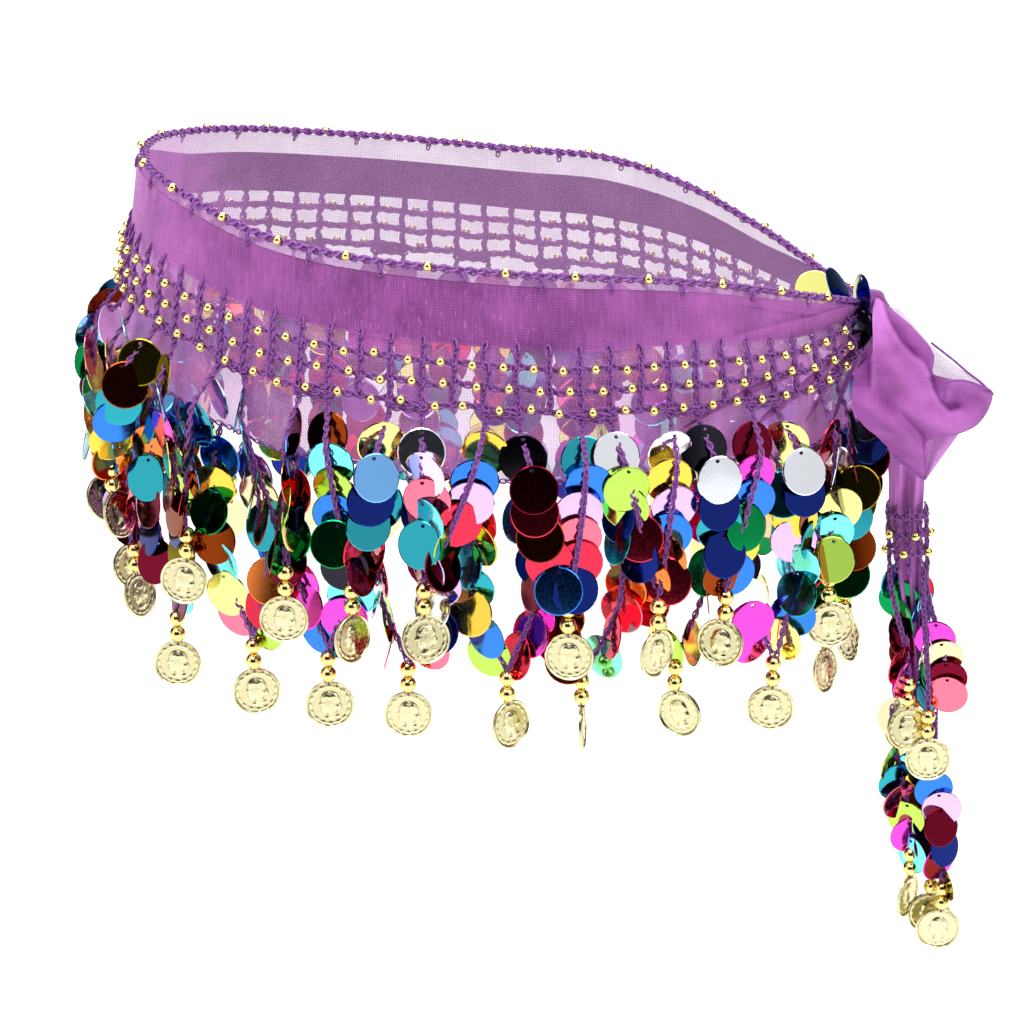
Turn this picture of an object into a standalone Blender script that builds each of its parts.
"""Belly dance hip scarf, tied round the hips and worn with no wearer.

Frame: +Z up, the wearer looks along -Y, the knot lies on +X, the origin is the middle of the hips.
A place on the cloth is (run, depth, lift): run goes round the top edge from the knot by way of the back,
depth goes down the cloth from the top edge, and lift stands out from the cloth.
"""

import math

import bmesh
import bpy
import numpy as np
from mathutils import Vector

MM = 0.001

# Top edge, seen from above: a hip oval that comes to a soft point at the knot.
RING_HALF_WIDTH = 0.170
RING_HALF_DEPTH = 0.125
KNOT_POINT = 0.3
RIM_STEPS = 2880
RIM_HEIGHTS = (  # turn from the knot in degrees, height in mm: it is worn low on the knot side
    (0, -34),
    (30, -29),
    (45, -17),
    (60, -2),
    (75, 8),
    (90, 10),
    (120, 18),
    (150, 27),
    (180, 30),
    (210, 23),
    (240, 5),
    (270, -4),
    (300, -12),
    (330, -27),
)

# Layers of the cloth, by depth.
FLARE = math.radians(8)
BAND_TOP = 0.003
BAND_BOTTOM = 0.031
HEM = 0.091
CLOTH_DEPTHS = (0.0, 0.015, 0.031, 0.046, 0.061, 0.076, HEM)
BAND_DEPTHS = (BAND_TOP, 0.015, BAND_BOTTOM)

# Walls.
CLOTH_THICKNESS = 0.001
BAND_LIFT = 0.0017
NET_THICKNESS = 0.0015
NET_LIFT = 0.0040
SEAM_GAP = 0.0005
EDGING_RADIUS = 0.0016
EDGING_GAP = 0.0005

# Gathering at the knot.
GATHER_REACH = 0.170
GATHER = (  # depth, how far the knot draws it up
    (0.0, 0.0),
    (BAND_BOTTOM, 0.017),
    (0.058, 0.016),
    (HEM, 0.030),
)
CLOTH_START = 0.0118  # run at which the cloth goes into the knot
PLEATED_STEP = 0.0078
PLAIN_COLUMNS = 25

# Folds: the skirt hangs in soft waves, and pleats fan out from the knot.
SKIRT_WAVES = (  # length, height, phase
    (0.074, 0.0013, 0.4),
    (0.047, 0.0007, 1.9),
)
PLEATS = 7
PLEAT_HEIGHT = 0.0010
PLEAT_REACH = 0.105
PLEAT_ROOT = 0.020  # how far past the knot's middle the pleats would meet

# Crochet net: three rows of openings between four rows of bars, teeth on the band's lower edge.
NET_CELLS = 63
NET_PITCH = 0.0135
NET_BAR = 0.0028
NET_ROWS = (0.0285, 0.038, 0.0405, 0.0475, 0.050, 0.0565, 0.0608)
OPEN_ROWS = (0, 2, 4)

# Fringe: a pair of strands on every third net cell, meeting at two beads and a coin.
PAIR_CELLS = 3
FRINGE_THICKNESS = 0.0022
STRIP_HEIGHT = 0.0022
STRIP_GAP = 0.0007
STRAND_WIDTH = 0.003
DISC_WIDTH = 0.0170
BEAD_WIDTH = 0.006
COIN_WIDTH = 0.019
DISC_SIDE = 0.0091  # of the stack's middle from the middle of the pair
BEAD_SIDE = 0.0035
PLAIN_END_SIDE = 0.006
CHAIN_TOP = 0.008
DISC_SHOULDER = 0.006  # lengths over which a strand widens or narrows
CHAIN_FOOT = 0.010
PLAIN_END = 0.004
BEADS_LENGTH = 0.016
COIN_LENGTH = 0.021
COIN_SHOULDER = 0.0045
STAND_DROP = 0.022  # drop within which a strand has swung out over the skirt
SWING_START = 0.030  # from the knot, where the strands begin to stand off
SWING_REACH = 0.080
TURNED_RUN = 0.075  # strands this near the side seam hang more edge on
GOLDEN_ANGLE = 2.4
# Tiers: chain length, stand off near and far from the knot, turn of the strands by the seam and elsewhere.
UPPER_TIER = {"chain": 0.080, "near": 0.0085, "far": 0.014, "seam_turn": 0.90, "turn": 0.35}
LOWER_TIER = {"chain": 0.089, "near": 0.0, "far": 0.002, "seam_turn": 0.12, "turn": 0.25}

# Knot, the loop of cloth pulled out of it, and the tail that falls from it.
KNOT_CENTRE = (0.1745, 0.0, -0.060)
KNOT_SIZE = (0.025, 0.0232, 0.056)
KNOT_ROUNDING = 0.008
WING_ROWS = (  # height, left, right, front, fold, in mm
    (-42, 171, 181, -12.1, 0),
    (-36, 172, 187, -24, 1),
    (-41, 174, 194, -34, 2),
    (-49, 174, 202, -41, 3),
    (-57, 172, 213, -46, 4),
    (-64, 168, 222, -48, 4),
    (-71, 166, 230, -48, 4),
    (-79, 167, 227, -48, 4),
    (-88, 172, 215, -47, 4),
    (-96, 181, 210, -46, 3),
    (-104, 190, 206, -44, 2),
    (-113, 197, 203, -42, 1),
)
WING_COLUMNS = 11
WING_WAVES = 1.5
TAIL_ROWS = (  # height, left, right, front, fold, in mm
    (-88.7, 174, 183, -3, 0.5),
    (-104, 184, 203, -4, 2),
    (-123, 187, 204, -3, 2),
    (-142, 188, 204, -2, 2),
    (-166, 189, 204, -1, 2),
    (-200, 191, 205, 0, 2),
    (-239, 195, 208, 0, 1.5),
)
TAIL_COLUMNS = 11
TAIL_WAVES = 2.0
FOLD_SHIFT = 0.35  # phase gained by the folds from row to row
TAIL_NET_TOP = (0.1955, -0.0015, -0.139)
TAIL_NET_RADII = (0.0108, 0.0080)
TAIL_NET_HEIGHT = 0.026
TAIL_LEAN = 0.06  # sideways for each unit of drop
TAIL_OPEN = math.radians(35)
TAIL_NET_COLUMNS = 13
TAIL_NET_ROWS = 4
KNOT_CROWN = {  # discs standing up out of the knot; each outline row is drop, width, side
    "name": "knot_crown",
    "origin": (0.1700, -0.0035, -0.0313),
    "roots": (-0.0045, 0.0045),
    "outlines": (
        ((0.003, 0.010, -0.006), (0.010, 0.014, -0.010), (0.017, 0.006, -0.015)),
        ((0.003, 0.009, 0.006), (0.009, 0.011, 0.006), (0.014, 0.004, 0.005)),
    ),
    "rise": 1.0,
}
KNOT_STRAND = {  # the net's last strand, caught in the knot
    "name": "knot_strand",
    "origin": (0.1785, -0.0131, -0.0765),
    "roots": (0.0,),
    "rise": -1.0,
}
KNOT_STRAND_CHAIN = 0.060
TAIL_UPPER = {
    "name": "tail_fringe_upper",
    "centre": (0.1966, -0.0015, -0.1657),
    "radii": (0.0104, 0.0076),
    "strands": (150, 225, 310, 395),
    "chain": 0.064,
    "stand": 0.0065,
    "disc_width": 0.0165,
}
TAIL_LOWER = {
    "name": "tail_fringe_lower",
    "centre": (0.2015, 0.0, -0.2397),
    "radii": (0.0060, 0.0030),
    "strands": (180, 280, 20),
    "chain": 0.086,
    "stand": 0.0050,
    "disc_width": 0.0150,
}


def smooth_step(value):
    value = np.clip(value, 0.0, 1.0)
    return value * value * (3.0 - 2.0 * value)


def rim_height(degrees):
    """Periodic cubic through RIM_HEIGHTS."""
    turns = np.array([row[0] for row in RIM_HEIGHTS], float)
    heights = np.array([row[1] for row in RIM_HEIGHTS], float) * MM
    turns = np.concatenate([turns - 360, turns, turns + 360])
    heights = np.tile(heights, 3)
    slopes = np.gradient(heights, turns)
    index = np.searchsorted(turns, degrees, side="right") - 1
    span = turns[index + 1] - turns[index]
    part = (degrees - turns[index]) / span
    rise = heights[index + 1] - heights[index]
    return (
        heights[index]
        + rise * part * part * (3 - 2 * part)
        + span * slopes[index] * part * (1 - part) ** 2
        - span * slopes[index + 1] * part * part * (1 - part)
    )


def trace_rim():
    """The top edge as dense points, with the run at each."""
    turn = np.linspace(0.0, 2 * math.pi, RIM_STEPS + 1)
    across = RING_HALF_WIDTH * np.cos(turn)
    deep = RING_HALF_DEPTH * np.sin(turn) * np.abs(np.sin(turn / 2)) ** KNOT_POINT
    height = rim_height(np.degrees(turn) % 360)
    points = np.stack([across, deep, height], axis=1)
    steps = np.linalg.norm(np.diff(points, axis=0), axis=1)
    return points, np.concatenate([[0.0], np.cumsum(steps)])


RIM, RIM_RUNS = trace_rim()
GIRTH = RIM_RUNS[-1]
SIDE_SEAM = GIRTH / 2
NET_START = (GIRTH - NET_CELLS * NET_PITCH) / 2


def rim_point(run):
    return np.array([np.interp(run, RIM_RUNS, RIM[:, axis]) for axis in range(3)])


def along(run):
    """Unit vector round the ring, level."""
    step = rim_point(min(run + 2 * MM, GIRTH)) - rim_point(max(run - 2 * MM, 0.0))
    step[2] = 0.0
    return step / np.linalg.norm(step)


def outward(run):
    level = along(run)
    return np.array([level[1], -level[0], 0.0])


def from_knot(run):
    return min(run, GIRTH - run)


def gathered(run, depth):
    """Depth after the knot has drawn the cloth up."""
    pull = np.interp(depth, [row[0] for row in GATHER], [row[1] for row in GATHER])
    return depth - pull * max(0.0, 1.0 - from_knot(run) / GATHER_REACH)


def fold(run, depth):
    """How far the folds stand out."""
    swing = smooth_step((depth - BAND_BOTTOM) / (HEM - BAND_BOTTOM))
    waves = sum(
        height * math.sin(2 * math.pi * run / length + phase)
        for length, height, phase in SKIRT_WAVES
    )
    away = from_knot(run)
    fan = math.atan2(gathered(run, depth) - gathered(0.0, BAND_BOTTOM), away + PLEAT_ROOT)
    pleat = math.cos(fan * 2 * PLEATS) * PLEAT_HEIGHT * (1 - smooth_step(away / PLEAT_REACH))
    return swing * waves + pleat


def cloth_point(run, depth, lift=0.0):
    drop = gathered(run, depth)
    stand = drop * math.sin(FLARE) + fold(run, depth) + lift
    point = rim_point(run) + outward(run) * stand
    point[2] -= drop * math.cos(FLARE)
    return point


def new_material(name, colour, roughness, metallic=0.0):
    material = bpy.data.materials.new(name)
    material.use_nodes = True
    shader = material.node_tree.nodes["Principled BSDF"]
    shader.inputs["Base Color"].default_value = (*colour, 1.0)
    shader.inputs["Roughness"].default_value = roughness
    shader.inputs["Metallic"].default_value = metallic
    material.diffuse_color = (*colour, 1.0)
    return material


def add_object(name, data, material):
    obj = bpy.data.objects.new(name, data)
    data.materials.append(material)
    scarf.objects.link(obj)
    return obj


def add_wall(name, bm, material, thickness, offset=-1.0):
    """An open surface, thickened."""
    mesh = bpy.data.meshes.new(name)
    bm.to_mesh(mesh)
    bm.free()
    mesh.shade_smooth()
    obj = add_object(name, mesh, material)
    solidify = obj.modifiers.new("thickness", "SOLIDIFY")
    solidify.thickness = thickness
    solidify.offset = offset
    solidify.use_even_offset = True
    return obj


def grid(columns, rows, place):
    """A grid whose vertex (column, row) is put at place(column value, row value)."""
    bm = bmesh.new()
    bmesh.ops.create_grid(bm, x_segments=len(columns) - 1, y_segments=len(rows) - 1, size=0.5)
    bm.verts.ensure_lookup_table()
    for index, vertex in enumerate(bm.verts):
        row, column = divmod(index, len(columns))
        vertex.co = place(columns[column], rows[row])
    bmesh.ops.reverse_faces(bm, faces=bm.faces)
    return bm


def half_runs(half):
    """Runs of one half's columns, closer together towards the knot."""
    near = np.arange(CLOTH_START, PLEAT_REACH, PLEATED_STEP)
    far = np.linspace(PLEAT_REACH, SIDE_SEAM - SEAM_GAP / 2, PLAIN_COLUMNS)
    runs = np.concatenate([near, far])
    return runs if half == "back" else (GIRTH - runs)[::-1]


def make_cloth(half):
    bm = grid(half_runs(half), CLOTH_DEPTHS, cloth_point)
    add_wall(f"chiffon_{half}", bm, chiffon, CLOTH_THICKNESS)


def make_band(half):
    bm = grid(half_runs(half), BAND_DEPTHS, lambda run, depth: cloth_point(run, depth, BAND_LIFT))
    add_wall(f"band_{half}", bm, chiffon_doubled, CLOTH_THICKNESS)


def make_edging(half):
    """The crocheted rope along the top edge."""
    runs = half_runs(half)
    curve = bpy.data.curves.new(f"edging_{half}", "CURVE")
    curve.dimensions = "3D"
    curve.bevel_depth = EDGING_RADIUS
    curve.bevel_resolution = 0
    curve.use_fill_caps = True
    spline = curve.splines.new("POLY")
    spline.points.add(len(runs) - 1)
    for point, run in zip(spline.points, runs):
        place = cloth_point(run, 0.0, -CLOTH_THICKNESS / 2)
        place[2] += EDGING_RADIUS + EDGING_GAP
        point.co = (*place, 1.0)
    add_object(f"edging_{half}", curve, crochet)


def net_bar_run(index):
    return NET_START + index * NET_PITCH


def half_bars(half):
    middle = (NET_CELLS + 1) // 2
    return range(middle) if half == "back" else range(middle, NET_CELLS + 1)


def make_net(half):
    """Crochet net: a sheet with its openings taken out."""
    runs = []
    for index in half_bars(half):
        runs += [net_bar_run(index) - NET_BAR / 2, net_bar_run(index) + NET_BAR / 2]
    if half == "back":
        runs.append(SIDE_SEAM - SEAM_GAP / 2)
        first_gap = 1
    else:
        runs.insert(0, SIDE_SEAM + SEAM_GAP / 2)
        first_gap = 0
    bm = grid(runs, NET_ROWS, lambda run, depth: cloth_point(run, depth, NET_LIFT))
    bm.faces.ensure_lookup_table()
    across = len(runs) - 1
    openings = []
    for index, face in enumerate(bm.faces):
        row, column = divmod(index, across)
        if row in OPEN_ROWS and column % 2 == first_gap:
            openings.append(face)
    bmesh.ops.delete(bm, geom=openings, context="FACES")
    add_wall(f"net_{half}", bm, crochet, NET_THICKNESS)


def strand_outline(chain, side, with_coin):
    """Rows of (drop, width, side): a chain and its stack of discs, then, on one of a pair, beads and coin."""
    rows = [
        (CHAIN_TOP, STRAND_WIDTH, side * DISC_SIDE),
        (CHAIN_TOP + DISC_SHOULDER, DISC_WIDTH, side * DISC_SIDE),
        (chain - CHAIN_FOOT, DISC_WIDTH, side * DISC_SIDE),
    ]
    if not with_coin:
        return rows + [(chain - PLAIN_END, BEAD_WIDTH, side * PLAIN_END_SIDE)]
    coin = chain + BEADS_LENGTH
    return rows + [
        (chain, BEAD_WIDTH, side * BEAD_SIDE),
        (coin, BEAD_WIDTH, 0.0),
        (coin + COIN_SHOULDER, COIN_WIDTH, 0.0),
        (coin + COIN_LENGTH - COIN_SHOULDER, COIN_WIDTH, 0.0),
        (coin + COIN_LENGTH, COIN_WIDTH / 2, 0.0),
    ]


def draw_strand(bm, edge, level, outline, place, turned):
    """Extrudes a strand down from its root edge; turned is the angle of its discs about its length."""
    left = min(edge.verts, key=lambda vertex: vertex.co.dot(level))
    for drop, width, side in outline:
        made = bmesh.ops.extrude_edge_only(bm, edges=[edge])["geom"]
        edge = next(item for item in made if isinstance(item, bmesh.types.BMEdge))
        left, right = sorted(edge.verts, key=lambda vertex: (vertex.co - left.co).length)
        angle = turned if drop > CHAIN_TOP else 0.0
        across = width / 2 * math.cos(angle)
        beyond = width / 2 * math.sin(angle)
        left.co = place(side - across, -beyond, drop)
        right.co = place(side + across, beyond, drop)


def hang_out(run, near, far):
    """How far the strands stand off below their strip, less near the knot."""
    return near + (far - near) * float(smooth_step((from_knot(run) - SWING_START) / SWING_REACH))


def make_fringe(name, half, depth, lift, tier):
    """One half of one tier: a narrow strip with strands hanging from it."""
    bars = list(half_bars(half))
    runs = []
    for index in bars:
        runs += [net_bar_run(index) - STRAND_WIDTH / 2, net_bar_run(index) + STRAND_WIDTH / 2]
    rows = (depth + STRIP_GAP, depth + STRIP_GAP + STRIP_HEIGHT)
    bm = grid(runs, rows, lambda run, down: cloth_point(run, down, lift))
    bm.verts.ensure_lookup_table()
    lower = list(bm.verts)[len(runs):]
    roots = [bm.edges.get(lower[first : first + 2]) for first in range(0, len(runs), 2)]
    for index, root in zip(bars, roots):
        if index % PAIR_CELLS == 0:
            continue
        pair = index // PAIR_CELLS
        side = -1 if index % PAIR_CELLS == 1 else 1
        centre = net_bar_run(pair * PAIR_CELLS + PAIR_CELLS / 2)
        base = cloth_point(centre, rows[1], lift)
        level, out = along(centre), outward(centre)
        stand = hang_out(centre, tier["near"], tier["far"])

        def place(across, beyond, drop):
            gone = stand * float(smooth_step(drop / STAND_DROP))
            return base + level * across + out * (gone + beyond) - np.array([0.0, 0.0, drop])

        by_seam = abs(centre - SIDE_SEAM) < TURNED_RUN
        turned = tier["seam_turn"] if by_seam else tier["turn"] * math.sin(GOLDEN_ANGLE * index)
        outline = strand_outline(tier["chain"], side, side == (-1 if pair % 2 else 1))
        draw_strand(bm, root, Vector(level), outline, place, turned)
    add_wall(f"{name}_{half}", bm, paillettes, FRINGE_THICKNESS, offset=0.0)


def make_knot():
    bpy.ops.mesh.primitive_cube_add(size=1.0, location=KNOT_CENTRE)
    knot = bpy.context.object
    knot.name = knot.data.name = "knot"
    knot.scale = KNOT_SIZE
    bpy.ops.object.transform_apply(location=False, rotation=False, scale=True)
    bevel = knot.modifiers.new("rounded", "BEVEL")
    bevel.width = KNOT_ROUNDING
    bevel.segments = 3
    for collection in list(knot.users_collection):
        collection.objects.unlink(knot)
    scarf.objects.link(knot)
    knot.data.materials.append(chiffon_doubled)
    knot.data.shade_smooth()


def make_draped(name, rows, columns, waves, material, thickness):
    """Loose cloth from rows of (height, left, right, front, fold), each waved from front to back."""
    table = np.array(rows, float) * MM

    def place(across, row):
        height, left, right, front, swing = table[row]
        wave = swing * math.sin(2 * math.pi * waves * across + FOLD_SHIFT * row)
        return (left + (right - left) * across, front + wave, height)

    bm = grid(np.linspace(0, 1, columns), range(len(rows)), place)
    add_wall(name, bm, material, thickness)


def make_knot_trim(name, origin, roots, outlines, rise):
    """A short strip on the knot with strands that go up (rise 1) or down (rise -1)."""
    ends = [place for root in roots for place in (root - STRAND_WIDTH / 2, root + STRAND_WIDTH / 2)]

    def place(across, beyond, along_strand):
        return np.array(origin) + np.array([across, -beyond, rise * along_strand])

    bm = grid(ends, (0.0, STRIP_HEIGHT), lambda across, height: place(across, 0.0, height))
    bm.verts.ensure_lookup_table()
    far = list(bm.verts)[len(ends):]
    edges = [bm.edges.get(far[first : first + 2]) for first in range(0, len(ends), 2)]
    for edge, outline in zip(edges, outlines):
        rows = [(STRIP_HEIGHT + away, width, side) for away, width, side in outline]
        draw_strand(bm, edge, Vector((1, 0, 0)), rows, place, 0.0)
    bmesh.ops.recalc_face_normals(bm, faces=bm.faces)
    add_wall(name, bm, paillettes, FRINGE_THICKNESS, offset=0.0)


def oval_place(centre, radii, lean):
    """A placing function for things that ring the tail: angle round it, out from it, and drop."""

    def place(angle, beyond, drop):
        out = np.array([math.cos(angle), math.sin(angle), 0.0])
        ring = np.array([radii[0] * out[0], radii[1] * out[1], 0.0])
        return np.array(centre) + ring + out * beyond + np.array([lean * drop, 0.0, -drop])

    return place


def make_tail_net():
    place = oval_place(TAIL_NET_TOP, TAIL_NET_RADII, TAIL_LEAN)
    angles = np.linspace(TAIL_OPEN, 2 * math.pi - TAIL_OPEN, TAIL_NET_COLUMNS) + math.pi / 2
    drops = np.linspace(0.0, TAIL_NET_HEIGHT, TAIL_NET_ROWS)
    bm = grid(angles, drops, lambda angle, drop: place(angle, 0.0, drop))
    add_wall("tail_net", bm, crochet, NET_THICKNESS)


def make_tail_fringe(name, centre, radii, strands, chain, stand, disc_width):
    """A strip round the tail with its strands; strands are angles in degrees."""
    ring = oval_place(centre, radii, TAIL_LEAN)
    half_root = STRAND_WIDTH / 2 / max(radii)
    angles = []
    for degrees in strands:
        angle = math.radians(degrees)
        angles += [angle - half_root, angle + half_root]
    bm = grid(angles, (0.0, STRIP_HEIGHT), lambda angle, drop: ring(angle, 0.0, drop))
    bm.verts.ensure_lookup_table()
    lower = list(bm.verts)[len(angles):]
    roots = [bm.edges.get(lower[first : first + 2]) for first in range(0, len(angles), 2)]
    for degrees, root in zip(strands, roots):
        angle = math.radians(degrees)
        out = np.array([math.cos(angle), math.sin(angle), 0.0])
        level = np.array([-out[1], out[0], 0.0])

        def place(across, beyond, drop):
            gone = stand * float(smooth_step(drop / STAND_DROP))
            return ring(angle, gone + beyond, STRIP_HEIGHT + drop) + level * across

        rows = strand_outline(chain, 0, True)
        outline = [(drop, min(width, disc_width), side) for drop, width, side in rows]
        draw_strand(bm, root, Vector(level), outline, place, 0.0)
    add_wall(name, bm, paillettes, FRINGE_THICKNESS, offset=0.0)


for old in list(bpy.data.objects):
    bpy.data.objects.remove(old)
scarf = bpy.data.collections.new("belly_dance_hip_scarf")
bpy.context.scene.collection.children.link(scarf)

chiffon = new_material("chiffon", (0.55, 0.16, 0.55), 0.6)
chiffon_doubled = new_material("chiffon_doubled", (0.38, 0.06, 0.38), 0.6)
crochet = new_material("crochet", (0.17, 0.03, 0.28), 0.7)
paillettes = new_material("paillettes", (0.10, 0.30, 0.75), 0.2, 0.9)

for half in ("back", "front"):
    make_cloth(half)
    make_band(half)
    make_edging(half)
    make_net(half)
    make_fringe("fringe_upper", half, NET_ROWS[-1], NET_LIFT - NET_THICKNESS / 2, UPPER_TIER)
    make_fringe("fringe_lower", half, HEM, -CLOTH_THICKNESS / 2, LOWER_TIER)
make_knot()
make_knot_trim(**KNOT_CROWN)
make_knot_trim(outlines=[strand_outline(KNOT_STRAND_CHAIN, 0, True)], **KNOT_STRAND)
make_draped("wing", WING_ROWS, WING_COLUMNS, WING_WAVES, chiffon, CLOTH_THICKNESS)
make_draped("tail_cloth", TAIL_ROWS, TAIL_COLUMNS, TAIL_WAVES, chiffon, CLOTH_THICKNESS)
make_tail_net()
make_tail_fringe(**TAIL_UPPER)
make_tail_fringe(**TAIL_LOWER)
